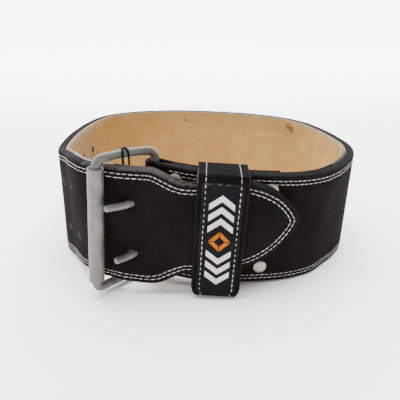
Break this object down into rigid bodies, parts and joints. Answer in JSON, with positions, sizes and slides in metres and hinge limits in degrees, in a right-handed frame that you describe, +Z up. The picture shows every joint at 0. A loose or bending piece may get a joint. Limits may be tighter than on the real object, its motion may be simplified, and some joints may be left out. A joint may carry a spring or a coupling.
{
  "type": "weightlifting belt",
  "caption": "Stiff leather weightlifting belt, buckled in a loop: black suede outside, tan lining, roller buckle with prongs, keeper loop with a sewn patch, and rivets.",
  "frame": {"origin": "middle of the footprint, on the floor", "axes": "+Z up through the waist opening, -Y towards the buckle, +X the way the tongue points"},
  "size_m": [0.2856, 0.2722, 0.1232],
  "materials": {
    "suede": "black suede, matte, with grey worn edges and off-white stitching",
    "tan_leather": "smooth undyed tan leather with a pale cut edge",
    "steel": "dull grey plated steel",
    "patch": null,
    "rivet_metal": "off-white plated dome"
  },
  "bodies": {
    "root": {"strap": "suede", "lining": "tan_leather", "buckle_frame": "steel", "roller": "steel", "prong_upper": "steel", "prong_lower": "steel", "keeper_loop": "suede", "keeper_label": "patch", "rivet_1": "rivet_metal", "rivet_2": "rivet_metal", "rivet_3": "rivet_metal", "rivet_4": "rivet_metal"}
  },
  "joints": []
}
